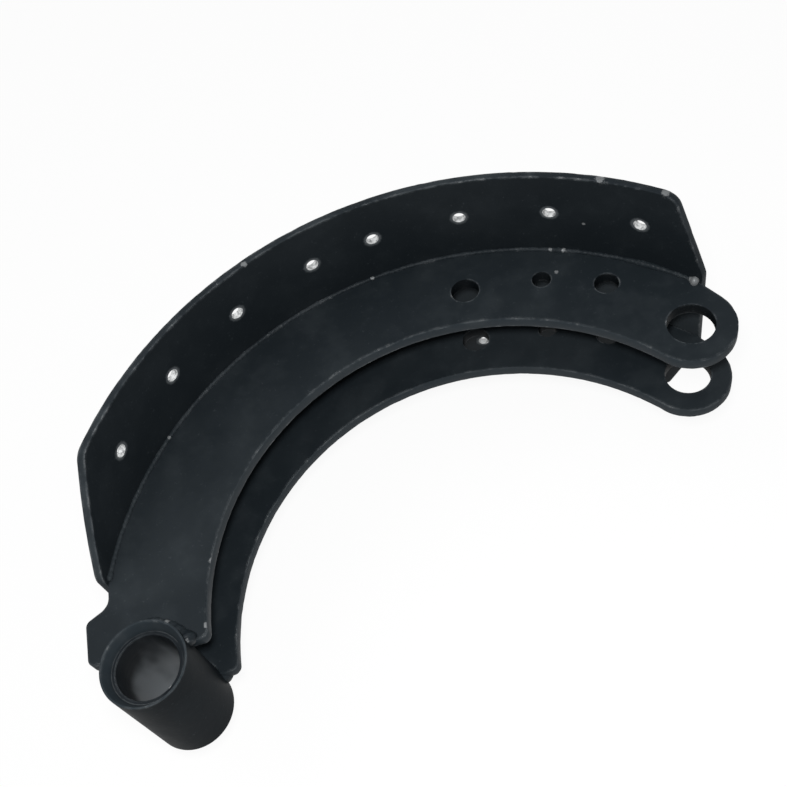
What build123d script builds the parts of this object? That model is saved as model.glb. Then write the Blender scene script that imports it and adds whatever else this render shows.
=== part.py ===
"""Welded twin-web shoe for an S-cam drum brake, in millimetres.

The origin is the middle of the anchor bore. +Z runs along the anchor and drum axes, so both webs lie
flat, and +Y points from the drum axis to the middle of the lining face. The shoe is the same above and
below Z = 0. Angles are in degrees about the drum axis, counted from +X towards +Y.
"""
import os
from math import acos, atan2, cos, degrees, hypot, radians, sin

from build123d import *

os.makedirs("parts", exist_ok=True)

# ---------------------------------------------------------------- driving sizes
# Table: the rolled plate that carries the linings
lining_middle = 90.0  # the middle of the lining face
table_radius = 187.0  # its outer face
table_thickness = 4.0
table_width = 160.0
roller_end_turn = 59.5  # from the middle of the linings to the table's roller end
anchor_end_turn = 66.8  # and to its anchor end
nose_width = 62.0  # what is left square at each end, between the trimmed corners
roller_trim = 17.0  # how far the trimmed corners run back from the roller end
anchor_trim = 41.0  # and from the anchor end
nose_rounding = 9.0

# Rivet holes: one row near each edge, in one group for each of the two linings
rivet_hole_radius = 3.25
rivet_row_spacing = 109.2  # between the two rows, along Z
rivets_per_lining = 4  # in each row
rivet_pitch = 14.5
lining_gap = 10.7  # between the last hole of one lining and the first of the next

# Webs: two flat plates inside the table
web_thickness = 7.0
web_gap = 37.5  # clear width between them, for the cam roller
web_depth = 49.5  # from the table down to the webs' inner edge
web_arc_shift = (2.0, 3.0)  # from the drum axis to the centre of the webs' inner edge

# Roller eye at one end of each web
eye_inset = 24.0  # from the table's inner face to the eye's centre
eye_turn = 2.7  # past the table's roller end
eye_hole_radius = 11.8
eye_outer_radius = 22.4

# Small holes through both webs: inset from the table, turn from the middle of the linings, radius
spring_hole = (25.0, 19.0, 7.4)
guide_hole = (20.3, 33.3, 4.9)
stop_hole = (17.5, 45.0, 6.3)

# Anchor end: a tube across both webs, seated in a notch between an ear and a horn
anchor_inset = 22.5  # from the table's inner face to the tube's centre
anchor_turn = 14.9  # past the table's anchor end
bush_bore_radius = 15.0
bush_wall = 2.0
bush_edge_break = 0.6
tube_wall = 3.5
tube_overhang = 7.75  # past the webs' outer sides
mouth_depth = 5.5  # the tube's bore widens from the bush to each end
lip_width = 0.9  # what is left of the wall there
web_end_height = 7.0  # the webs' end edge stands this far before the tube's centre line
ear_reach = 28.5  # the ear's outer edge, beyond the tube's centre
ear_height = 31.0  # the ear's shoulder, above the tube's centre line
ear_base_rise = 2.0  # the ear's foot slopes up by this towards its outer edge
ear_rounding = 4.0
throat_width = 11.5  # from the ear's outer edge in to the throat between ear and table
throat_rise = 5.3  # the throat's corner, above the ear's shoulder
throat_rounding = 7.0
horn_rounding = 4.0

# Weld runs
table_weld_leg = 2.5
table_weld_margin = 0.6  # degrees left bare at each end of the table
tube_weld_leg = 3.5

# ---------------------------------------------------------------- places worked out from the sizes
table_inner_radius = table_radius - table_thickness
table_start = lining_middle - roller_end_turn
table_end = lining_middle + anchor_end_turn
web_inner_radius = table_inner_radius - web_depth
bush_outer_radius = bush_bore_radius + bush_wall
tube_radius = bush_outer_radius + tube_wall
mouth_radius = tube_radius - lip_width
web_face = web_gap / 2 + web_thickness  # height of a web's outer side above the middle plane
tube_length = 2 * (web_face + tube_overhang)
bush_length = tube_length - 2 * mouth_depth


def polar(distance, angle):
    """Point at an angle about the drum axis."""
    return distance * cos(radians(angle)), distance * sin(radians(angle))


anchor_angle = table_end + anchor_turn
anchor_distance = table_inner_radius - anchor_inset
anchor_place = polar(anchor_distance, anchor_angle)
drum_place = (-anchor_place[0], -anchor_place[1])
drum_plane = Plane(origin=(*drum_place, 0))
drum_axis = Axis(origin=(*drum_place, 0), direction=(0, 0, 1))
eye_place = polar(table_inner_radius - eye_inset, table_start - eye_turn)


def table_plane(angle, away=1):
    """Plane on the table's outer face: x runs along the arc, z points outwards."""
    outward = polar(1, angle)
    along = (-away * outward[1], away * outward[0], 0)
    surface = (
        drum_place[0] + table_radius * outward[0],
        drum_place[1] + table_radius * outward[1],
        0,
    )
    return Plane(origin=surface, x_dir=along, z_dir=(*outward, 0))


def section_plane(place, angle):
    """Upright plane through an axis along Z: x points outwards at the angle, y points up."""
    outward = polar(1, angle)
    return Plane(origin=(*place, 0), x_dir=(*outward, 0), z_dir=(outward[1], -outward[0], 0))


def by_anchor(outwards, along):
    """Point given from the tube's centre: away from the drum axis, and along the shoe."""
    out_x, out_y = polar(1, anchor_angle)
    return (
        anchor_place[0] + outwards * out_x + along * out_y,
        anchor_place[1] + outwards * out_y - along * out_x,
    )


def keep_between(start, end):
    """Cut the sketch down to what lies between two angles."""
    reach = 2 * table_radius
    rim = [polar(reach, angle) for angle in (start, (start + end) / 2, end)]
    Polygon((0, 0), *rim, align=None, mode=Mode.INTERSECT)


# ---------------------------------------------------------------- table
def trim_table_end(angle, away, run):
    """Slope both corners of a table end back to a rounded nose."""
    plane = table_plane(angle, away)
    half_width = table_width / 2
    with BuildSketch(plane, mode=Mode.PRIVATE) as nose:
        Polygon(
            (-3 * run, half_width),
            (-run, half_width),
            (0, nose_width / 2),
            (0, -nose_width / 2),
            (-run, -half_width),
            (-3 * run, -half_width),
            align=None,
        )
        corners = nose.vertices().filter_by(lambda corner: corner.X > -2 * run)
        fillet(corners, nose_rounding)
    with BuildSketch(plane) as waste:
        Rectangle(4 * run, table_width + run)
        add(nose.sketch_local, mode=Mode.SUBTRACT)
    extrude(waste.sketch, amount=table_thickness + run, both=True, mode=Mode.SUBTRACT)


half_lining = (rivets_per_lining - 1) * rivet_pitch + lining_gap / 2
station_offsets = [half_lining - step * rivet_pitch for step in range(rivets_per_lining)]
rivet_stations = [lining_middle + side * offset for side in (1, -1) for offset in station_offsets]

with BuildPart() as table:
    with BuildSketch(drum_plane):
        Circle(table_radius)
        Circle(table_inner_radius, mode=Mode.SUBTRACT)
        keep_between(table_start, table_end)
    extrude(amount=table_width / 2, both=True)
    trim_table_end(table_start, -1, roller_trim)
    trim_table_end(table_end, 1, anchor_trim)
    with BuildSketch(*[table_plane(angle) for angle in rivet_stations]):
        with GridLocations(0, rivet_row_spacing, 1, 2):
            Circle(rivet_hole_radius)
    extrude(amount=2 * table_thickness, both=True, mode=Mode.SUBTRACT)
table.part.label = "table"
export_step(table.part, "parts/table.step")


# ---------------------------------------------------------------- webs
def eye_tangent(corner):
    """Where a straight edge from the table's end runs onto the round of the eye."""
    gap_x = corner[0] - eye_place[0]
    gap_y = corner[1] - eye_place[1]
    turn = acos(eye_outer_radius / hypot(gap_x, gap_y))
    angle = atan2(gap_y, gap_x) - turn
    return eye_place[0] + eye_outer_radius * cos(angle), eye_place[1] + eye_outer_radius * sin(angle)


def draw_web(outline):
    """Outline of one web, about the drum axis."""
    table_corner_roller = polar(table_inner_radius, table_start)
    table_corner_anchor = polar(table_inner_radius, table_end)
    horn_side = anchor_distance - web_inner_radius
    ear_base = by_anchor(ear_reach, web_end_height + ear_base_rise)
    ear_shoulder = by_anchor(ear_reach, ear_height)
    ear_throat = by_anchor(ear_reach - throat_width, ear_height + throat_rise)
    # the curved strip inside the table
    Circle(table_inner_radius)
    keep_between(table_start, table_end)
    # on to the tube, with the ear outside it and the horn inside
    Polygon(
        by_anchor(0, web_end_height),
        ear_base,
        ear_shoulder,
        ear_throat,
        table_corner_anchor,
        (0, 0),
        by_anchor(-2 * horn_side, web_end_height),
        align=None,
    )
    # on to the roller eye
    Polygon((0, 0), eye_place, eye_tangent(table_corner_roller), table_corner_roller, align=None)
    with Locations(web_arc_shift):
        Circle(web_inner_radius, mode=Mode.SUBTRACT)
    with Locations(eye_place):
        Circle(eye_outer_radius)
    horn = outline.vertices().sort_by_distance((*by_anchor(-horn_side, web_end_height), 0))[0]
    fillet(horn, horn_rounding)
    ear = [outline.vertices().sort_by_distance((*end, 0))[0] for end in (ear_base, ear_shoulder)]
    fillet(ear, ear_rounding)
    throat = outline.vertices().sort_by_distance((*ear_throat, 0))[0]
    fillet(throat, throat_rounding)
    with Locations(anchor_place):
        Circle(tube_radius, mode=Mode.SUBTRACT)
    with Locations(eye_place):
        Circle(eye_hole_radius, mode=Mode.SUBTRACT)
    for inset, turn, radius in (spring_hole, guide_hole, stop_hole):
        with Locations(polar(table_inner_radius - inset, lining_middle - turn)):
            Circle(radius, mode=Mode.SUBTRACT)


for name, bottom in (("web_upper", web_gap / 2), ("web_lower", -web_face)):
    with BuildPart() as web:
        with BuildSketch(drum_plane.offset(bottom)) as web_outline:
            draw_web(web_outline)
        extrude(amount=web_thickness)
    web.part.label = name
    export_step(web.part, f"parts/{name}.step")

# ---------------------------------------------------------------- anchor tube and bush
with BuildPart() as anchor_tube:
    with BuildSketch(Plane.XZ):
        Polygon(
            (bush_outer_radius, -bush_length / 2),
            (mouth_radius, -tube_length / 2),
            (tube_radius, -tube_length / 2),
            (tube_radius, tube_length / 2),
            (mouth_radius, tube_length / 2),
            (bush_outer_radius, bush_length / 2),
            align=None,
        )
    revolve(axis=Axis.Z)
anchor_tube.part.label = "anchor_tube"
export_step(anchor_tube.part, "parts/anchor_tube.step")

with BuildPart() as anchor_bush:
    with BuildSketch(Plane.XY):
        Circle(bush_outer_radius)
        Circle(bush_bore_radius, mode=Mode.SUBTRACT)
    extrude(amount=bush_length / 2, both=True)
    rims = anchor_bush.edges().filter_by(GeomType.CIRCLE)
    chamfer(rims.filter_by(lambda edge: edge.radius < bush_outer_radius - bush_wall / 2), bush_edge_break)
anchor_bush.part.label = "anchor_bush"
export_step(anchor_bush.part, "parts/anchor_bush.step")


# ---------------------------------------------------------------- weld runs
def draw_run(root, leg_outwards, leg_upwards):
    """Section of a weld run: two legs from its root, and a sloping face."""
    toe_side = (root[0] + leg_outwards, root[1])
    toe_top = (root[0], root[1] + leg_upwards)
    Polygon(root, toe_side, toe_top, align=None)


notch_half_angle = degrees(acos(web_end_height / tube_radius))
for level, side in (("upper", 1), ("lower", -1)):
    with BuildPart() as table_weld:
        with BuildSketch(section_plane(drum_place, table_start + table_weld_margin)):
            draw_run((table_inner_radius, side * web_face), -table_weld_leg, side * table_weld_leg)
        revolve(axis=drum_axis, revolution_arc=table_end - table_start - 2 * table_weld_margin)
    table_weld.part.label = f"table_weld_{level}"
    export_step(table_weld.part, f"parts/table_weld_{level}.step")

    with BuildPart() as tube_weld:
        with BuildSketch(section_plane((0, 0), anchor_angle - 90 - notch_half_angle)):
            draw_run((tube_radius, side * web_face), tube_weld_leg, side * tube_weld_leg)
        revolve(axis=Axis.Z, revolution_arc=2 * notch_half_angle)
    tube_weld.part.label = f"tube_weld_{level}"
    export_step(tube_weld.part, f"parts/tube_weld_{level}.step")
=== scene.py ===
# %% [markdown]
# # A welded brake shoe, dressed for the camera
#
# The real thing is a rolled steel table on two flat webs, with a bushed tube welded across one end. The CAD
# model already has every plate, hole and tube at its true size, so this script doesn't rebuild them. It
# copies each plate, softens the edges a press and a torch leave soft, lays rippled welds in the corners, and
# gives everything its thin, uneven coat of black paint.

import math
from math import cos, pi, radians, sin

import bpy
from mathutils import Matrix, Vector, noise


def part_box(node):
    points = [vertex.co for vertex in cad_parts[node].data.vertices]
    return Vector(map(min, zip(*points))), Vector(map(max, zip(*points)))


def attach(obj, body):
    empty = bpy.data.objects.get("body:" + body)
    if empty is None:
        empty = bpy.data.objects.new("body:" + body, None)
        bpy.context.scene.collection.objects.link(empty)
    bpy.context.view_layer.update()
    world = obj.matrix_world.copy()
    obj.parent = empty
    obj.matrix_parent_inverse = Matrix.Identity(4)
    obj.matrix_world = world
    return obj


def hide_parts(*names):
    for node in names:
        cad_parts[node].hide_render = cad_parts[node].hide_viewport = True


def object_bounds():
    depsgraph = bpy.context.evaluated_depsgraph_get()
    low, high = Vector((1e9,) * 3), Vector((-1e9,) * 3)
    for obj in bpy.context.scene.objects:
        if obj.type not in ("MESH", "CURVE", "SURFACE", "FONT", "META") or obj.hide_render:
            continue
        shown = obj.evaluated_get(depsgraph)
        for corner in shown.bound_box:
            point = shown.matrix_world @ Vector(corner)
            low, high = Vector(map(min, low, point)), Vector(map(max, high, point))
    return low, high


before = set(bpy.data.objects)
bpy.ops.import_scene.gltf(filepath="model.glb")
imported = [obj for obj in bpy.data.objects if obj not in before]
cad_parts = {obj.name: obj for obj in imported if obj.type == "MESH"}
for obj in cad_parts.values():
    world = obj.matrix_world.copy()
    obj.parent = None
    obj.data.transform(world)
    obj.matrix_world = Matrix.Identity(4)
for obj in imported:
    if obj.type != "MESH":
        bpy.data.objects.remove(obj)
MM = 0.001
cad_low, cad_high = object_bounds()
print("CAD box, mm:", [round(side / MM, 1) for side in cad_high - cad_low])

# %% [markdown]
# ## Places on the shoe
#
# Everything on a brake shoe is laid out about the drum's axis, which is far outside the part's own origin in
# the anchor bore. Along X, the anchor's distance and angle say where that axis is. Along Y, it lies one
# table radius below the table's crown. Blender works in metres, so a length is written in millimetres times
# MM. Angles are in degrees about the drum axis, from +X towards +Y.
#
# The linings are riveted to the table in two rows, one near each edge. Each row has four holes for each of
# the two linings, with a narrower step where the linings meet, so all sixteen places follow from a pitch, a
# gap and a row height.

# %% Find the drum axis from the table
TABLE_RADIUS = 187 * MM
TABLE_THICKNESS = 4 * MM
TABLE_INSIDE = TABLE_RADIUS - TABLE_THICKNESS
TABLE_START, TABLE_END = 30.5, 156.8
ANCHOR = Vector((0, 0, 0))
ANCHOR_DISTANCE = 160.5 * MM
ANCHOR_ANGLE = 171.7

table_low, table_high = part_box("table")
DRUM = Vector((-ANCHOR_DISTANCE * cos(radians(ANCHOR_ANGLE)), table_high[1] - TABLE_RADIUS, 0))
WEB_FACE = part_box("web_upper")[1][2]
TUBE_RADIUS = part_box("anchor_tube")[1][0]
print("drum axis at, mm:", [round(v / MM, 2) for v in DRUM], "tube radius", round(TUBE_RADIUS / MM, 2))


def on_drum(distance, angle, height=0.0):
    """Point at a distance and an angle, in degrees, about the drum axis."""
    return DRUM + Vector((distance * cos(radians(angle)), distance * sin(radians(angle)), height))


# %% Where the rivet holes are
RIVET_HOLE = 3.25 * MM
RIVET_ROW = 54.6 * MM
RIVET_PITCH, LINING_GAP, RIVETS = 14.5, 10.7, 4
last_rivet = (RIVETS - 1) * RIVET_PITCH + LINING_GAP / 2
stations = [90 + side * (last_rivet - step * RIVET_PITCH) for side in (1, -1) for step in range(RIVETS)]
RIVET_PLACES = [
    on_drum(TABLE_INSIDE, angle, height) for angle in stations for height in (RIVET_ROW, -RIVET_ROW)
]
print("rivet holes:", len(RIVET_PLACES), "at angles", [round(angle, 1) for angle in stations])

# %% [markdown]
# ## Shader maths as plain expressions
#
# A node tree is hard to read as a list of links. A socket wrapped in a small class lets sums be written as
# sums: `wear * 0.5 + grain` adds two Math nodes by itself. Every other node comes from one method, which
# takes its type, its settings and what goes into its sockets.


# %% A socket that can be used in sums
class Wire:
    """One output socket. Used in a sum, it adds the Math nodes that the sum needs."""

    def __init__(self, bench, socket):
        self.bench = bench
        self.socket = socket

    def sum(self, operation, first, second, clamp=False):
        """One Math node on two wires or numbers."""
        settings = {"operation": operation, "use_clamp": clamp}
        return self.bench.node("ShaderNodeMath", settings, {0: first, 1: second})

    def __add__(self, other):
        return self.sum("ADD", self, other)

    def __radd__(self, other):
        return self.sum("ADD", other, self)

    def __sub__(self, other):
        return self.sum("SUBTRACT", self, other)

    def __rsub__(self, other):
        return self.sum("SUBTRACT", other, self)

    def __mul__(self, other):
        return self.sum("MULTIPLY", self, other)

    def __rmul__(self, other):
        return self.sum("MULTIPLY", other, self)

    def larger(self, other):
        """The larger of this and another."""
        return self.sum("MAXIMUM", self, other)

    def clamped(self):
        """Held between 0 and 1."""
        return self.sum("ADD", self, 0.0, clamp=True)

    def between(self, low, high):
        """0 below low, 1 above high, and a smooth rise between them."""
        settings = {"interpolation_type": "SMOOTHSTEP"}
        rise = {"Value": self, "From Min": low, "From Max": high}
        return self.bench.node("ShaderNodeMapRange", settings, rise)


# %% A bench on which a material is put together
class Bench:
    """Builds the node tree of a material, or of the world."""

    def __init__(self, owner):
        self.owner = owner
        owner.use_nodes = True
        self.tree = owner.node_tree
        self.tree.nodes.clear()

    def node(self, kind, settings=None, inputs=None, output=0):
        """Add a node: its settings first, then the values or wires of its sockets."""
        made = self.tree.nodes.new(kind)
        for key, value in (settings or {}).items():
            setattr(made, key, value)
        for key, value in (inputs or {}).items():
            if isinstance(value, Wire):
                self.tree.links.new(value.socket, made.inputs[key])
            else:
                made.inputs[key].default_value = value
        return Wire(self, made.outputs[output]) if made.outputs else None

    def vectors(self, operation, first, second, output="Value"):
        """One Vector Math node on two points or directions."""
        return self.node("ShaderNodeVectorMath", {"operation": operation}, {0: first, 1: second}, output)

    def place(self):
        """Where a point lies on the object."""
        return self.node("ShaderNodeTexCoord", output="Object")

    def height(self):
        """How high a point lies on the object."""
        return self.node("ShaderNodeSeparateXYZ", None, {"Vector": self.place()}, "Z")

    def noise(self, scale, detail=4.0, roughness=0.55, stretch=None):
        """Cloudy noise; stretch squeezes it along an axis, for drawn marks."""
        place = self.place()
        if stretch:
            place = self.node("ShaderNodeMapping", None, {"Vector": place, "Scale": stretch})
        sizes = {"Vector": place, "Scale": scale, "Detail": detail, "Roughness": roughness}
        return self.node("ShaderNodeTexNoise", None, sizes, "Fac")

    def blend(self, share, first, second):
        """Mix two colours."""
        colours = {"Factor": share, 6: first, 7: second}
        return self.node("ShaderNodeMix", {"data_type": "RGBA"}, colours, 2)

    def edge(self, radius):
        """1 along sharp edges and 0 on open faces, from how far a rounded normal leans away."""
        rounded_normal = self.node("ShaderNodeBevel", {"samples": 6}, {"Radius": radius})
        true_normal = self.node("ShaderNodeNewGeometry", output="True Normal")
        agree = self.vectors("DOT_PRODUCT", rounded_normal, true_normal)
        return (1.0 - agree).between(0.01, 0.16)

    def spots(self, places, raggedness=1.6):
        """1 within each of a few spots, given by place and size, with ragged outlines."""
        here = self.place()
        grain = self.noise(700.0, detail=2.0)
        total = None
        for place, size in places:
            ragged = grain * (raggedness * size)
            away = self.vectors("DISTANCE", here, tuple(place))
            spot = 1.0 - (away + ragged).between(1.5 * size, 2.0 * size)
            total = spot if total is None else total + spot
        return total.clamped()

    def bump(self, height, distance, strength):
        """Normals that lean as if the surface had this height."""
        relief = {"Height": height, "Distance": distance, "Strength": strength}
        return self.node("ShaderNodeBump", None, relief)

    def finish(self, **sockets):
        """Principled surface to the output."""
        names = {key.replace("_", " "): value for key, value in sockets.items()}
        surface = self.node("ShaderNodeBsdfPrincipled", None, names)
        self.node("ShaderNodeOutputMaterial", None, {"Surface": surface})
        return self.owner


# %% [markdown]
# ## Black dip paint
#
# The shoe is dipped or sprayed after welding, so one thin satin coat runs over plates, welds and tube alike.
# It is never even: it dries greyer in cloudy patches, carries fine dust nibs, and lies thin on every sheared
# edge, where handling rubs it back to grey primer and bare steel. A painted image could carry all that, but
# it would need unwrapped pieces and would blur close up. Noise in the shader needs neither. One recipe, with
# a few amounts changed, serves every piece, so the pieces look painted together.

# %% Colours of the coat, where it is knocked off, and painted highlights
COAT = (0.0095, 0.0128, 0.0155, 1)
COAT_GREY = (0.0270, 0.0325, 0.0365, 1)
RUBBED = (0.0850, 0.0940, 0.1000, 1)
BARE_STEEL_AND_HIGHLIGHT = (0.2600, 0.2700, 0.2750, 1)
SPECULAR = 0.06
SPOT_STRENGTH = 0.5
WORN_EDGE = 2.0 * MM
RIVET_RIM = 3.1 * MM
DUST_FADE = 9 * MM

# a spot is a place and a size; the bead's are on its crown, between the table and the upper web
BEAD_REACH, BEAD_TOP = 182.2 * MM, WEB_FACE + 1.2 * MM
BEAD_CHIPS = ((53.8, 1.2), (56.0, 1.0), (86.7, 1.2), (131.0, 0.9))
WEB_CHIPS_AND_HIGHLIGHT = [
    (on_drum(168.1 * MM, 54.3, WEB_FACE), 1.1 * MM),
    (on_drum(159.2 * MM, 56.4, WEB_FACE - 1 * MM), 1.3 * MM),
    (on_drum(132.6 * MM, 152.3, WEB_FACE), 1.6 * MM),
    # painted highlight on the end of the horn, by the tube
    (Vector((30.2, 8.4, 25.6)) * MM, 1.3 * MM),
]
WELD_CHIPS_AND_HIGHLIGHT = [(on_drum(BEAD_REACH, angle, BEAD_TOP), size * MM) for angle, size in BEAD_CHIPS]
WELD_CHIPS_AND_HIGHLIGHT += [
    (on_drum(181.4 * MM, 31.8, WEB_FACE + 2.2 * MM), 3.4 * MM),
    # painted highlight on the lump at the start of the upper tube weld
    (Vector((20.5, 4.5, 28.5)) * MM, 1.5 * MM),
    (Vector((14, 17, 28)) * MM, 1.2 * MM),
]
TABLE_CHIPS = [
    (on_drum(TABLE_INSIDE, 50.2, 48 * MM), 0.9 * MM),
    (on_drum(TABLE_INSIDE + 1 * MM, 105.3, 79.8 * MM), 1.5 * MM),
    (on_drum(TABLE_INSIDE + 2 * MM, 47.5, 79.8 * MM), 2.2 * MM),
    (on_drum(TABLE_INSIDE + 2 * MM, 37.5, 79.6 * MM), 1.8 * MM),
]
print("knocked spots: webs", len(WEB_CHIPS_AND_HIGHLIGHT), "welds", len(WELD_CHIPS_AND_HIGHLIGHT), "table", len(TABLE_CHIPS))


# %% Mix the coat
def channel_dust(bench):
    """1 on the table's inner face between the webs, fading out at them, and 0 on its other faces."""
    away = bench.node("ShaderNodeMath", {"operation": "ABSOLUTE"}, {0: bench.height()})
    level = bench.vectors("MULTIPLY", bench.place(), (1, 1, 0), "Vector")
    reach = bench.vectors("DISTANCE", level, tuple(DRUM))
    inner_face = 1.0 - reach.between(TABLE_INSIDE + 0.3 * MM, TABLE_INSIDE + 0.7 * MM)
    return (1.0 - away.between(WEB_FACE - DUST_FADE, WEB_FACE)) * inner_face


def black_coat(
    name,
    grey,
    rubbed=0.8,
    chips=0.6,
    mill=0.0,
    gloss=0.46,
    darker=1.0,
    shine=SPECULAR,
    chips_and_highlights=(),
    channel=0.0,
    rivet_rub=0.0,
):
    """Satin black paint. grey, rubbed and chips say how much; mill adds drawn marks under the paint.

    darker multiplies the paint's colour, so above 1 it is painted light and below 1 painted shade; gloss and
    shine set its sheen, chips_and_highlights lists knocked spots and painted highlights, channel adds dust
    between the webs, and rivet_rub wears the paint round each rivet hole.
    """
    bench = Bench(bpy.data.materials.new(name))
    clouds = bench.noise(16.0, detail=5.0)
    patches = bench.noise(60.0, detail=3.0, roughness=0.6)
    nibs = bench.noise(800.0, detail=2.0)
    flake = bench.noise(240.0, detail=3.0, roughness=0.7)
    breaks = bench.noise(130.0, detail=3.0, roughness=0.65)
    edge = bench.edge(WORN_EDGE)
    dust = (clouds.between(0.4, 0.7) * 0.7 + patches.between(0.45, 0.7) * 0.4) * grey
    specks = nibs.between(0.63, 0.7) * flake.between(0.45, 0.65) * 0.6
    worn = (edge * breaks.between(0.4, 0.62) * rubbed).clamped()
    bare = (edge * flake.between(0.6 - 0.1 * chips, 0.7) * breaks.between(0.42, 0.6) * chips).clamped()
    # listed spots: knocked to bare steel, and on the webs and welds also painted highlights
    if chips_and_highlights:
        bare = (bare + bench.spots(chips_and_highlights) * SPOT_STRENGTH).clamped()
    if rivet_rub:
        rims = [(place, RIVET_RIM) for place in RIVET_PLACES]
        worn = (worn + bench.spots(rims, raggedness=0.5) * rivet_rub).clamped()
    coat = tuple(part * darker for part in COAT[:3]) + (1,)
    dusty = dust + specks
    if channel:
        dusty = dusty + channel_dust(bench) * channel
    colour = bench.blend(dusty.clamped(), coat, COAT_GREY)
    colour = bench.blend(worn, colour, RUBBED)
    colour = bench.blend(bare, colour, BARE_STEEL_AND_HIGHLIGHT)
    roughness = (patches * 0.16 + dust * 0.25 + worn * 0.1 + (gloss - 0.08)).clamped()
    relief = clouds * 0.35 + patches * 0.25 + flake * 0.12 + nibs * 0.1 - bare * 0.3
    if mill:
        relief = relief + bench.noise(420.0, detail=3.0, stretch=(1.0, 1.0, 0.06)) * mill
    return bench.finish(
        Base_Color=colour,
        Roughness=roughness,
        Metallic=bare * 0.4,
        Normal=bench.bump(relief, 0.5 * MM, 0.6),
        Specular_IOR_Level=shine,
    )


# %% One recipe, eight coats
plate_coat = black_coat("plate_coat", grey=0.5, chips_and_highlights=WEB_CHIPS_AND_HIGHLIGHT)
# cut edges: more dust and wear than the flat sides, and the paint is made lighter, as painted light
cut_coat = black_coat("cut_edge_coat", grey=1.3, rubbed=1.1, chips=0.9, mill=0.4, darker=1.7)
# the table's paint is made darker than the webs', as painted shade
table_coat = black_coat(
    "table_coat", grey=0.2, mill=0.25, darker=0.75, chips_and_highlights=TABLE_CHIPS, channel=0.9, rivet_rub=0.6
)
rim_coat = black_coat("table_rim_coat", grey=1.3, rubbed=1.0, chips=0.9, chips_and_highlights=TABLE_CHIPS)
# round faces of the tube: the paint is made darker, as painted shade
tube_shade_coat = black_coat("tube_shade_coat", grey=0.2, chips=0.5, darker=0.6, shine=0.02)
# mouth and end faces of the tube: more dust, and the paint is made paler, as painted light
mouth_light_coat = black_coat("tube_mouth_coat", grey=1.2, rubbed=0.5, chips=0.5, darker=1.8)
# walls of the web holes: the paint is made much darker, as painted shade
hole_shade_coat = black_coat("web_hole_shade_coat", grey=0.1, rubbed=0.3, chips=0.3, darker=0.35, shine=0.02)
weld_coat = black_coat("weld_coat", grey=0.7, rubbed=0.5, chips=0.5, gloss=0.4, chips_and_highlights=WELD_CHIPS_AND_HIGHLIGHT)
coats = (plate_coat, cut_coat, table_coat, rim_coat, tube_shade_coat, mouth_light_coat, hole_shade_coat, weld_coat)
print("coats mixed:", [coat.name for coat in coats])

# %% [markdown]
# ## The bush and the drilled holes
#
# The bush is pressed in before painting and picks up a thin coat, but its bore is smooth and turned, so it
# shows faint rings. Down the bore its coat is lighter in patches, as painted light, and near its top it
# stays dark, as painted shade. The rivet holes are drilled through, and linings and rivets have rubbed their
# walls to bare steel, made pale partly as painted light. Both finishes are the same few noises with other
# colours.

# %% Turned and drilled finishes
BUSH_BLACK = (0.0050, 0.0070, 0.0090, 1)
BUSH_GREY = (0.012, 0.015, 0.018, 1)
BUSH_LIT = (0.108, 0.119, 0.128, 1)
BUSH_LIP = (0.11, 0.12, 0.125, 1)
LIGHT_BELOW, SHADE_ABOVE = -14 * MM, 24 * MM
HOLE_STREAK = (0.20, 0.205, 0.21, 1)
# pale drilled steel, partly painted light
HOLE_STEEL_AND_LIGHT = (0.62, 0.63, 0.63, 1)


def turned_coat(name):
    """Paint over a turned bush, with painted light in patches down the bore and painted shade near its top.
    """
    bench = Bench(bpy.data.materials.new(name))
    rings = bench.noise(700.0, detail=2.0, stretch=(0.03, 0.03, 1.0))
    clouds = bench.noise(60.0, detail=4.0)
    runs = bench.noise(75.0, detail=2.0, stretch=(1.0, 1.0, 0.35))
    edge = bench.edge(0.9 * MM)
    # painted light down the bore, lighter in patches, and painted shade near its top
    deep = 1.0 - bench.height().between(LIGHT_BELOW, SHADE_ABOVE)
    bore_light = ((runs - 0.5) * 1.5 + deep).between(0.15, 1.0)
    lip = (edge * clouds.between(0.3, 0.6) * 0.8).clamped()
    colour = bench.blend(clouds.between(0.35, 0.7), BUSH_BLACK, BUSH_GREY)
    colour = bench.blend(bore_light, colour, BUSH_LIT)
    colour = bench.blend(lip, colour, BUSH_LIP)
    return bench.finish(
        Base_Color=colour,
        Roughness=0.4 + clouds * 0.2,
        Metallic=bore_light * 0.1,
        Normal=bench.bump(rings + clouds * 0.4, 0.15 * MM, 0.4),
        Specular_IOR_Level=0.05,
    )


def drilled_steel(name):
    """Wall of a drilled hole: bare steel streaked with paint, made pale partly as painted light."""
    bench = Bench(bpy.data.materials.new(name))
    streaks = bench.noise(500.0, detail=3.0)
    return bench.finish(
        Base_Color=bench.blend(streaks.between(0.3, 0.6), HOLE_STREAK, HOLE_STEEL_AND_LIGHT),
        Roughness=0.4 + streaks * 0.3,
        Metallic=0.2,
        Normal=bench.bump(streaks, 0.2 * MM, 0.4),
    )


bush_coat = turned_coat("bush_coat")
hole_steel_and_light = drilled_steel("hole_steel_and_light")
print("finishes mixed:", bush_coat.name, hole_steel_and_light.name)

# %% [markdown]
# ## Dressing the plates
#
# A CAD plate has knife edges, which catch no light, and perfectly smooth outlines. Real plate is sheared or
# torch cut: its outline wanders by a fraction of a millimetre, and its edges are rolled over. A bevel alone
# would leave the outline too true, and displacing a subdivided copy would dent the flat sides as well. So
# each node is copied and its loose triangles are merged. Its sharp edges are marked while they are still
# whole. Planes through the drum axis then slice the copy, which gives the long edges enough points to
# wander. The flat sides are made whole again, and only then are the marked edges bevelled.

# %% Copy a node and merge its triangles
SAME_POINT = 0.002 * MM
SAME_PLANE = radians(0.05)
SHARP = radians(35)


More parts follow.
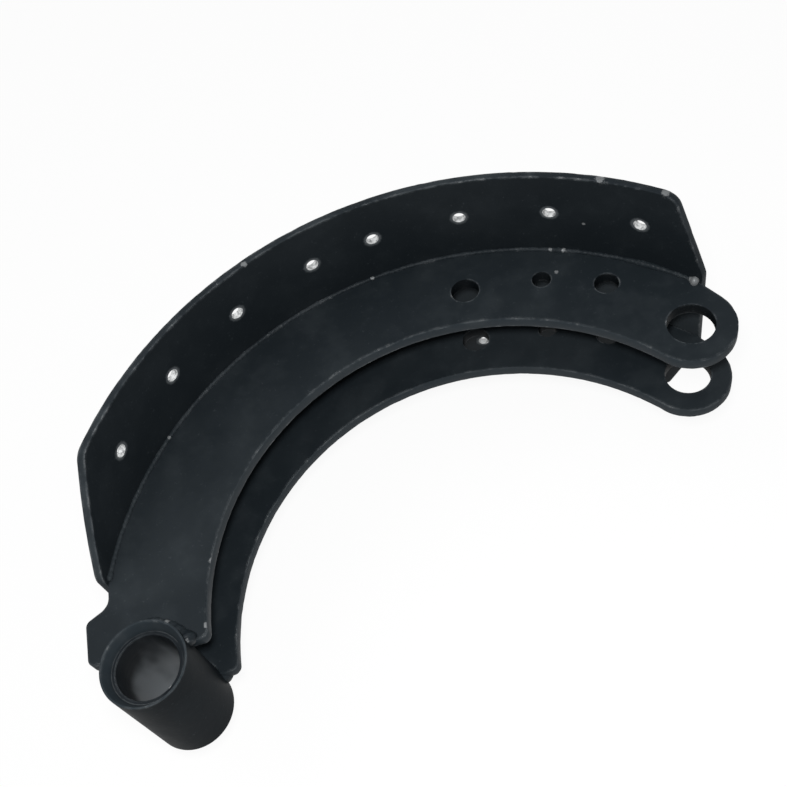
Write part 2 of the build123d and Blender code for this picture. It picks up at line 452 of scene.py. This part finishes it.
def only(piece):
    """Select one object and make it active."""
    bpy.ops.object.select_all(action="DESELECT")
    piece.select_set(True)
    bpy.context.view_layer.objects.active = piece


def copied(node, name):
    """A copy of a CAD node, with flat faces made whole."""
    only(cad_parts[node])
    bpy.ops.object.duplicate()
    piece = bpy.context.view_layer.objects.active
    piece.name = name
    only(piece)
    bpy.ops.object.mode_set(mode="EDIT")
    bpy.ops.mesh.select_all(action="SELECT")
    bpy.ops.mesh.remove_doubles(threshold=SAME_POINT)
    bpy.ops.mesh.customdata_custom_splitnormals_clear()
    bpy.ops.mesh.dissolve_limited(angle_limit=SAME_PLANE)
    bpy.ops.object.mode_set(mode="OBJECT")
    return piece


# %% Mark the edges to round, then slice the plate by planes through the drum axis
def marked(piece, in_hole=None, hole_share=1.0):
    """Mark the sharp edges for rounding, before any cut. What a cut divides stays marked.

    Edges for which in_hole is true are rounded by only a share of the full amount.
    """
    only(piece)
    bpy.ops.object.mode_set(mode="EDIT")
    bpy.ops.mesh.select_mode(type="EDGE")
    bpy.ops.mesh.select_all(action="DESELECT")
    bpy.ops.mesh.edges_select_sharp(sharpness=SHARP)
    bpy.ops.object.mode_set(mode="OBJECT")
    weights = piece.data.attributes.new("bevel_weight_edge", "FLOAT", "EDGE")
    points = piece.data.vertices
    for edge in piece.data.edges:
        middle = (points[edge.vertices[0]].co + points[edge.vertices[1]].co) / 2
        share = hole_share if in_hole and in_hole(middle) else 1.0
        weights.data[edge.index].value = share * edge.select


CLEARANCE = 0.2


def turn_of(place):
    """Angle of a place about the drum axis, in degrees."""
    return math.degrees(math.atan2(place.y - DRUM.y, place.x - DRUM.x)) % 360


def sliced(piece, start, end, step):
    """Cut extra edges across the plate, at angles in degrees.

    A cut less than the clearance from a point that is already there moves aside.
    """
    only(piece)
    taken = [turn_of(vertex.co) for vertex in piece.data.vertices]
    bpy.ops.object.mode_set(mode="EDIT")
    for turn in range(int((end - start) / step) + 1):
        angle = start + turn * step
        while any(abs(angle - other) < CLEARANCE for other in taken):
            angle += CLEARANCE / 2
        across = (-sin(radians(angle)), cos(radians(angle)), 0)
        bpy.ops.mesh.select_all(action="SELECT")
        bpy.ops.mesh.bisect(plane_co=DRUM, plane_no=across)
    bpy.ops.object.mode_set(mode="OBJECT")


# %% Let the cut edges wander, and join the flat sides
WAVE_LENGTH, WAVE_SHARE = 9 * MM, 0.55
NICK_LENGTH, NICK_SHARE = 2.6 * MM, 0.9


def fretted(piece, is_cut_edge, depth):
    """Eat into the cut edges by up to a depth, in long waves with short nicks."""
    mesh = piece.data
    outwards = {}
    for face in mesh.polygons:
        if is_cut_edge(face):
            for index in face.vertices:
                outwards[index] = outwards.get(index, Vector()) + face.normal
    for index, direction in outwards.items():
        if direction.length > 0:
            place = mesh.vertices[index].co
            wave = 0.5 + 0.5 * noise.noise(place / WAVE_LENGTH)
            nick = max(0, noise.noise(place / NICK_LENGTH))
            eaten = direction.normalized() * depth * (WAVE_SHARE * wave + NICK_SHARE * nick)
            mesh.vertices[index].co = place - eaten
    print(piece.name, "edge points that wander:", len(outwards))


def joined(piece):
    """Join the faces that lie in one plane, so no cut is left across a flat side."""
    only(piece)
    bpy.ops.object.mode_set(mode="EDIT")
    bpy.ops.mesh.select_all(action="SELECT")
    bpy.ops.mesh.dissolve_limited(angle_limit=SAME_PLANE)
    bpy.ops.object.mode_set(mode="OBJECT")


# %% Round the edges
def rounded(piece, rounding):
    """Bevel the marked edges and shade the piece smooth."""
    only(piece)
    bevel = piece.modifiers.new("rounding", "BEVEL")
    bevel.width = rounding
    bevel.segments = 2
    bevel.limit_method = "WEIGHT"
    bevel.use_clamp_overlap = False
    bevel.loop_slide = False
    bpy.ops.object.modifier_apply(modifier=bevel.name)
    bpy.ops.object.shade_smooth_by_angle(angle=SHARP)


# %% [markdown]
# ## Steady normals
#
# After the bevel, a plate's sides are a few large faces with thin ones round them. Smooth shading lets the
# thin ones bend the normals at the large ones' corners, which shows as smears of light across the plate.
# More faces would hide the smears but cost thousands of triangles. Instead each corner of a flat or round
# side is given the normal of the real surface, and only the rounded edges keep the averaged one.

# %% Give the faces their true normals
ON_SURFACE = 0.12 * MM


def reach_of(place, centre=DRUM):
    """Level distance of a place from an upright axis."""
    return Vector((place.x - centre.x, place.y - centre.y)).length


def outward_at(place, centre=DRUM):
    """Level direction from an upright axis to a place."""
    return Vector((place.x - centre.x, place.y - centre.y, 0)).normalized()


def flat_or_round(piece, rounds=(), centre=DRUM):
    """True normals of a piece's top and bottom and of its rounds about an upright axis.

    rounds holds the radius of each round face, and 1 where it faces away from the axis or -1 towards it.
    """
    heights = [vertex.co.z for vertex in piece.data.vertices]
    levels = ((max(heights), 1), (min(heights), -1))

    def true_normal(face, place):
        corners = [piece.data.vertices[index].co for index in face.vertices]
        for level, side in levels:
            if all(abs(corner.z - level) < ON_SURFACE for corner in corners):
                return Vector((0, 0, side))
        reaches = [reach_of(corner, centre) for corner in corners]
        for radius, side in rounds:
            if all(abs(reach - radius) < ON_SURFACE for reach in reaches):
                return outward_at(place, centre) * side
        return Vector()

    return true_normal


def steadied(piece, true_normal):
    """Corners take the normal of the real surface, and keep the averaged one where true_normal gives 0."""
    mesh = piece.data
    normals = [Vector() for loop in mesh.loops]
    for face in mesh.polygons:
        for loop in face.loop_indices:
            normals[loop] = true_normal(face, mesh.vertices[mesh.loops[loop].vertex_index].co)
    mesh.normals_split_custom_set(normals)


# %% Stand a finished piece in for its node
def stands_for(piece, node, coats):
    """The finished piece takes its coats and stands for its node."""
    piece.data.materials.clear()
    for coat in coats:
        piece.data.materials.append(coat)
    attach(piece, "root")
    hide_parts(node)
    print(piece.name, "faces:", len(piece.data.polygons))


# %% [markdown]
# ## The two webs
#
# Each web is one flat blank, sheared or torch cut along its whole outline, with a roller eye, three small
# holes and the notch for the tube. Its outline wanders, but not its holes, which are punched true, nor the
# edge that lies against the table, where a gap would show. The cut edges carry more dust and scuffs than the
# flat sides, and their paint is also made lighter, as painted light. The walls of the holes are made darker,
# as painted shade. Three coats on the faces of one piece say that more simply than a mask would.

# %% The holes of a web, and which faces are its cut outline
EYE_PLACE = on_drum(159 * MM, 27.8)
EYE_HOLE = 11.8 * MM
SMALL_HOLES = [(158, 71, 7.4), (162.7, 56.7, 4.9), (165.5, 45, 6.3)]
WELLS = [(on_drum(distance * MM, angle), radius * MM) for distance, angle, radius in SMALL_HOLES]
WELLS += [(EYE_PLACE, EYE_HOLE)]
HOLES_AND_NOTCH = WELLS + [(ANCHOR, TUBE_RADIUS)]
TOUCHING, ON_WALL = 0.3 * MM, 0.15 * MM
print("holes in each web, mm:", [round(radius / MM, 1) for place, radius in WELLS])


def is_web_edge(face):
    """Cut outline of a web: neither its flat sides, nor a hole, nor the edge against the table."""
    if abs(face.normal.z) > 0.5:
        return False
    if any(reach_of(face.center, hole) < radius + TOUCHING for hole, radius in HOLES_AND_NOTCH):
        return False
    return reach_of(face.center) < TABLE_INSIDE - TOUCHING or face.center.x < 0


def in_web_hole(point):
    """Whether a point lies on the wall of the roller eye or of a small web hole."""
    return any(reach_of(point, hole) < radius + ON_WALL for hole, radius in WELLS)


# %% Make the webs
# a plate's slices: the first and the last angle, and the step between two
WEB_SLICES = (18, 175, 1.25)
WEB_WANDER = 0.28 * MM
WEB_ROUNDING, WEB_HOLE_SHARE = 0.55 * MM, 0.35

webs = []
for node in ("web_upper", "web_lower"):
    web = copied(node, f"{node}_plate")
    marked(web, in_web_hole, WEB_HOLE_SHARE)
    sliced(web, *WEB_SLICES)
    fretted(web, is_web_edge, WEB_WANDER)
    joined(web)
    rounded(web, WEB_ROUNDING)
    steadied(web, flat_or_round(web))
    stands_for(web, node, [plate_coat, cut_coat, hole_shade_coat])
    webs.append(web)

# %% [markdown]
# ## The table
#
# The table is rolled plate, trimmed to a nose at each end, with sixteen drilled rivet holes. A slice across
# it lands on the straight facets between its points, so after slicing all points are brought onto the true
# round. Wandering and bevelling can push an edge point past the plate's width, so every point is held to it
# at the end. The rivet holes are too small for the full rounding and take a fifth of it.

# %% Which parts of the table are rivet holes, and which its cut outline
HOLE_MARGIN, BEVELLED_HOLE_MARGIN = 0.1 * MM, 0.12 * MM


def in_rivet_hole(point, margin):
    """Whether a point on the table lies on the wall of a rivet hole, or within a margin of it."""
    for angle in stations:
        outward = Vector((cos(radians(angle)), sin(radians(angle)), 0))
        for height in (RIVET_ROW, -RIVET_ROW):
            offset = point - DRUM - Vector((0, 0, height))
            sideways = offset - outward * offset.dot(outward)
            if offset.dot(outward) > 0 and sideways.length < RIVET_HOLE + margin:
                return True
    return False


def is_table_edge(face):
    """Cut outline of the table: not its round faces and not a rivet hole."""
    lean = face.normal.dot(outward_at(face.center))
    return abs(lean) < 0.5 and not in_rivet_hole(face.center, HOLE_MARGIN)


def trued(piece):
    """Bring a rolled plate's points onto its true outer and inner round."""
    for vertex in piece.data.vertices:
        outer = reach_of(vertex.co) > TABLE_RADIUS - TABLE_THICKNESS / 2
        level = outward_at(vertex.co) * (TABLE_RADIUS if outer else TABLE_INSIDE)
        vertex.co = Vector((DRUM.x + level.x, DRUM.y + level.y, vertex.co.z))


# %% Make the table
TABLE_SLICES = (TABLE_START + 0.5, TABLE_END - 0.3, 1.0)
TABLE_WANDER = 0.4 * MM
TABLE_ROUNDING, RIVET_HOLE_SHARE = 0.5 * MM, 0.2

table = copied("table", "table_plate")
marked(table, lambda point: in_rivet_hole(point, HOLE_MARGIN), RIVET_HOLE_SHARE)
sliced(table, *TABLE_SLICES)
trued(table)
fretted(table, is_table_edge, TABLE_WANDER)
rounded(table, TABLE_ROUNDING)
for vertex in table.data.vertices:
    vertex.co.z = max(table_low[2], min(table_high[2], vertex.co.z))
steadied(table, flat_or_round(table, ((TABLE_RADIUS, 1), (TABLE_INSIDE, -1))))
stands_for(table, "table", [table_coat, rim_coat, hole_steel_and_light])

# %% Lighter cut edges, web holes darkened as painted shade, and drilled rivet holes
# the places of those coats in a piece's list, and how squarely a face must lie on a flat or round side
CUT_EDGE, HOLE_WALL = 1, 2
FACING = 0.9

for web in webs:
    for face in web.data.polygons:
        face.material_index = CUT_EDGE * (abs(face.normal.z) < FACING)
        if face.material_index and in_web_hole(face.center):
            face.material_index = HOLE_WALL
for face in table.data.polygons:
    face.material_index = CUT_EDGE * (abs(face.normal.dot(outward_at(face.center))) < FACING)
drilled = [face for face in table.data.polygons if in_rivet_hole(face.center, BEVELLED_HOLE_MARGIN)]
for face in drilled:
    face.material_index = HOLE_WALL
print("faces in rivet holes:", len(drilled))

# %% [markdown]
# ## The tube and the bush
#
# Both are turned on a lathe, so they keep their true round and aren't sliced. The tube's mouth widens like a
# funnel down to the bush. Its coat, and that of the tube's ends, carries more dust and is made paler as
# painted light; the round faces of the tube have a darker coat, as painted shade.

# %% Make the tube and the bush
TUBE_BORE, BUSH_BORE = 17 * MM, 15 * MM
TUBE_ROUNDING, BUSH_ROUNDING = 0.4 * MM, 0.12 * MM
MOUTH_LEAN = 0.2

tube = copied("anchor_tube", "anchor_tube_turned")
marked(tube)
rounded(tube, TUBE_ROUNDING)
steadied(tube, flat_or_round(tube, ((TUBE_RADIUS, 1), (TUBE_BORE, -1)), ANCHOR))
stands_for(tube, "anchor_tube", [tube_shade_coat, mouth_light_coat])
# the mouth and the end faces take the paler coat with painted light
for face in tube.data.polygons:
    outside_bush = reach_of(face.center, ANCHOR) > TUBE_BORE + 0.1 * MM
    face.material_index = int(abs(face.normal.z) > MOUTH_LEAN and outside_bush)

bush = copied("anchor_bush", "anchor_bush_turned")
marked(bush)
rounded(bush, BUSH_ROUNDING)
steadied(bush, flat_or_round(bush, ((TUBE_BORE, 1), (BUSH_BORE, -1)), ANCHOR))
stands_for(bush, "anchor_bush", [bush_coat])

# %% [markdown]
# ## Weld runs
#
# A weld is a row of small frozen pools, each lapping the one before. It could be drawn in the paint, but it
# stands a millimetre proud and shows in the outline, so it is modelled: a round section is spun about the
# drum axis, or about the tube, and each ring of points then swells and sinks with the pools. Where the
# welder stopped, the run ends in a lump.

# %% Spin a bead and ripple it
SECTION_POINTS = 14
RINGS_PER_POOL, FEWEST_RINGS = 5, 24
SAME_BEAD_POINT = 0.001 * MM


def weld_run(name, centre, radius, height, start, end, size, pool, seed, node, lumps):
    """A bead of a given half thickness along an arc, in degrees, about an upright axis through centre.

    pool is the length of one pool, and seed makes two beads differ. lumps holds the angle, the length in
    degrees and the extra size of each place where the bead is thicker.
    """
    outward = Vector((cos(radians(start)), sin(radians(start)), 0))
    middle = centre + outward * radius + Vector((0, 0, height))
    turn = radians(end - start)
    rings = max(FEWEST_RINGS, round(abs(turn) * radius / pool * RINGS_PER_POOL))
    bpy.ops.object.select_all(action="DESELECT")
    bpy.ops.mesh.primitive_circle_add(
        vertices=SECTION_POINTS,
        radius=size,
        fill_type="NGON",
        location=middle,
        rotation=(pi / 2, 0, radians(start)),
    )
    run = bpy.context.view_layer.objects.active
    run.name = name
    bpy.ops.object.transform_apply(location=True, rotation=True, scale=True)
    bpy.ops.object.mode_set(mode="EDIT")
    bpy.ops.mesh.select_all(action="SELECT")
    bpy.ops.mesh.spin(steps=rings, angle=-turn, center=(centre.x, centre.y, 0), axis=(0, 0, 1))
    bpy.ops.mesh.select_all(action="SELECT")
    bpy.ops.mesh.remove_doubles(threshold=SAME_BEAD_POINT)
    bpy.ops.mesh.normals_make_consistent(inside=False)
    bpy.ops.object.mode_set(mode="OBJECT")
    middle_angle = (start + end) / 2
    for vertex in run.data.vertices:
        flat = Vector((vertex.co.x - centre.x, vertex.co.y - centre.y, 0))
        angle = math.degrees(math.atan2(flat.y, flat.x))
        angle += 360 * round((middle_angle - angle) / 360)
        spine = centre + flat.normalized() * radius + Vector((0, 0, height))
        out = vertex.co - spine
        # the pools, which lag behind down the bead's sides, with a slow drift and a fine grit over them
        along = radians(angle) * radius
        lag = 0.35 * abs(math.atan2(out.z, -out.dot(flat.normalized())))
        wave = abs(sin(pi * along / pool + lag))
        drift = noise.noise(Vector((along / (5 * size), seed, 0)))
        grit = noise.noise(vertex.co / (0.8 * size) + Vector((seed, 0, 0)))
        swell = 1 + 0.2 * (wave - 0.6) + 0.35 * drift + 0.16 * grit
        # thinner towards both ends, and thicker at each lump
        from_end = min(angle - start, end - angle) * radians(1) * radius / size
        swell *= min(1, 0.45 + 0.4 * max(0, from_end))
        for place, length, extra in lumps:
            swell += extra * math.exp(-(((angle - place) / length) ** 2))
        vertex.co = spine + out * swell
    bpy.ops.object.shade_smooth()
    stands_for(run, node, [weld_coat])
    print(name, "rings of points:", rings)


# %% Lay the four runs
WEB_END_HEIGHT = 7 * MM
NOTCH_TURN = math.degrees(math.acos(WEB_END_HEIGHT / TUBE_RADIUS))
NOTCH_START = ANCHOR_ANGLE - 90 - NOTCH_TURN
NOTCH_END = ANCHOR_ANGLE - 90 + NOTCH_TURN
TABLE_MARGIN, NOTCH_LEAD = 0.6, 4
# each lump: its angle, its length in degrees and how much thicker the bead is there
TABLE_LUMPS = ((TABLE_START + 1.1, 0.8, 1.6), (40, 2.6, 0.7), (54.5, 1.0, 0.5), (TABLE_END - 1.2, 0.8, 0.6))
TUBE_LUMPS = ((NOTCH_START + 2, 8, 1.1), (ANCHOR_ANGLE - 104, 6, 0.35))
SUNK, PROUD = 0.4 * MM, 0.5 * MM

for level, side in (("upper", 1), ("lower", -1)):
    weld_run(
        f"table_weld_{level}_run",
        DRUM,
        TABLE_INSIDE - SUNK,
        side * (WEB_FACE + SUNK),
        TABLE_START + TABLE_MARGIN,
        TABLE_END - TABLE_MARGIN,
        size=1.2 * MM,
        pool=2.8 * MM,
        seed=3 + side,
        node=f"table_weld_{level}",
        lumps=TABLE_LUMPS,
    )
    weld_run(
        f"tube_weld_{level}_run",
        ANCHOR,
        TUBE_RADIUS + PROUD,
        side * (WEB_FACE + SUNK),
        NOTCH_START - NOTCH_LEAD,
        NOTCH_END,
        size=2.4 * MM,
        pool=3.8 * MM,
        seed=8 + side,
        node=f"tube_weld_{level}",
        lumps=TUBE_LUMPS,
    )

# %% [markdown]
# ## Floor and world
#
# The shoe lies on its table's edge on a pale floor. The floor and the world are white to the camera and to
# reflections, but light the shoe at a plain level, and the floor keeps the shoe's shadow. The Light Path
# node tells the two apart, so no extra lamp is needed to make the background white.

# %% A white world and floor
WORLD_LIGHT = 0.4
FLOOR_GLOW = 0.93
FLOOR_SIZE = 8
PAPER = (0.86, 0.86, 0.86, 1)
WHITE = (1, 1, 1, 1)


def seen_or_reflected(bench):
    """1 for what the camera sees, directly, in a reflection or through glass, and 0 for other light."""
    seen = bench.node("ShaderNodeLightPath", output="Is Camera Ray")
    for ray in ("Is Glossy Ray", "Is Transmission Ray"):
        seen = seen.larger(bench.node("ShaderNodeLightPath", output=ray))
    return seen


def white_world():
    """White where it is seen or reflected, and softer where it gives light."""
    world = bpy.data.worlds.new("studio")
    bpy.context.scene.world = world
    bench = Bench(world)
    levels = {"Value": seen_or_reflected(bench), "To Min": WORLD_LIGHT, "To Max": 1.0}
    strength = bench.node("ShaderNodeMapRange", None, levels)
    sky = bench.node("ShaderNodeBackground", None, {"Color": WHITE, "Strength": strength})
    bench.node("ShaderNodeOutputWorld", None, {"Surface": sky})


def white_floor(height):
    """A wide floor that the camera sees as white, with the shadow kept faint."""
    bpy.ops.object.select_all(action="DESELECT")
    bpy.ops.mesh.primitive_plane_add(size=FLOOR_SIZE, location=(DRUM.x, DRUM.y, height))
    floor = bpy.context.view_layer.objects.active
    floor.name = "floor"
    bench = Bench(bpy.data.materials.new("floor_white"))
    paper = bench.node("ShaderNodeBsdfDiffuse", None, {"Color": PAPER})
    glow = bench.node("ShaderNodeEmission", None, {"Color": WHITE, "Strength": 1.0})
    share = seen_or_reflected(bench) * FLOOR_GLOW
    surface = bench.node("ShaderNodeMixShader", None, {"Fac": share, 1: paper, 2: glow})
    bench.node("ShaderNodeOutputMaterial", None, {"Surface": surface})
    floor.data.materials.append(bench.owner)


white_world()
white_floor(cad_low.z)
print("floor at, mm:", round(cad_low.z / MM, 1), "world light:", WORLD_LIGHT)

# %% [markdown]
# ## Camera
#
# The camera looks down from the open side of the arc, over the anchor end, so the table's inner face, both
# webs and the mouth of the tube all show. Its focal length is given in pixels of the rendered image, which
# the sensor's width turns into the millimetres that Blender asks for. A roll is easiest to set by saying
# which way is up, so the camera's three directions are built from that.

# %% Set the camera
CAMERA_PLACE = Vector((125.4, -219.0, 461.5)) * MM
CAMERA_AIM = Vector((154.3, 102.1, 0)) * MM
CAMERA_UP = Vector((0.4011, 0.7400, 0.5399))
IMAGE_WIDTH = 787
FOCAL_PIXELS = 1060.4
SENSOR = 36.0

camera_data = bpy.data.cameras.new("camera")
camera_data.sensor_width = SENSOR
camera_data.lens = FOCAL_PIXELS / IMAGE_WIDTH * SENSOR
camera = bpy.data.objects.new("camera", camera_data)
bpy.context.scene.collection.objects.link(camera)
back = (CAMERA_PLACE - CAMERA_AIM).normalized()
right = CAMERA_UP.cross(back).normalized()
up = back.cross(right)
turned = Matrix((right, up, back)).transposed().to_4x4()
camera.matrix_world = Matrix.Translation(CAMERA_PLACE) @ turned
bpy.context.scene.camera = camera
bpy.context.scene.view_settings.view_transform = "Standard"
print("lens, mm:", round(camera_data.lens, 2))

# %% [markdown]
# ## Lamps
#
# The main light is a small one just above the lens, as a flash is. It reaches every place that the camera
# sees, so the lower web and the gap between the webs stay readable, and only a thin shadow shows beside
# each edge. A large lamp behind and the pale world fill in the rest.

# %% A lamp above the lens and a soft one overhead
FLASH_RISE, FLASH_SHIFT = 35 * MM, 14 * MM
FLASH_SIZE, FLASH_POWER = 0.05, 2.9
OVERHEAD_PLACE = Vector((-0.35, 0.45, 1.10))
OVERHEAD_SIZE, OVERHEAD_POWER = 0.8, 4
LAMP_AIM = Vector((DRUM.x, DRUM.y + 100 * MM, 0))


def soft_lamp(name, place, size, power):
    """A square lamp aimed at the shoe."""
    data = bpy.data.lights.new(name, "AREA")
    data.size = size
    data.energy = power
    lamp = bpy.data.objects.new(name, data)
    bpy.context.scene.collection.objects.link(lamp)
    lamp.location = place
    aim = LAMP_AIM - lamp.location
    lamp.rotation_euler = aim.to_track_quat("-Z", "Y").to_euler()
    print(name, "at, mm:", [round(side / MM) for side in lamp.location])


soft_lamp("flash", CAMERA_PLACE + up * FLASH_RISE - right * FLASH_SHIFT, FLASH_SIZE, FLASH_POWER)
soft_lamp("overhead", OVERHEAD_PLACE, OVERHEAD_SIZE, OVERHEAD_POWER)
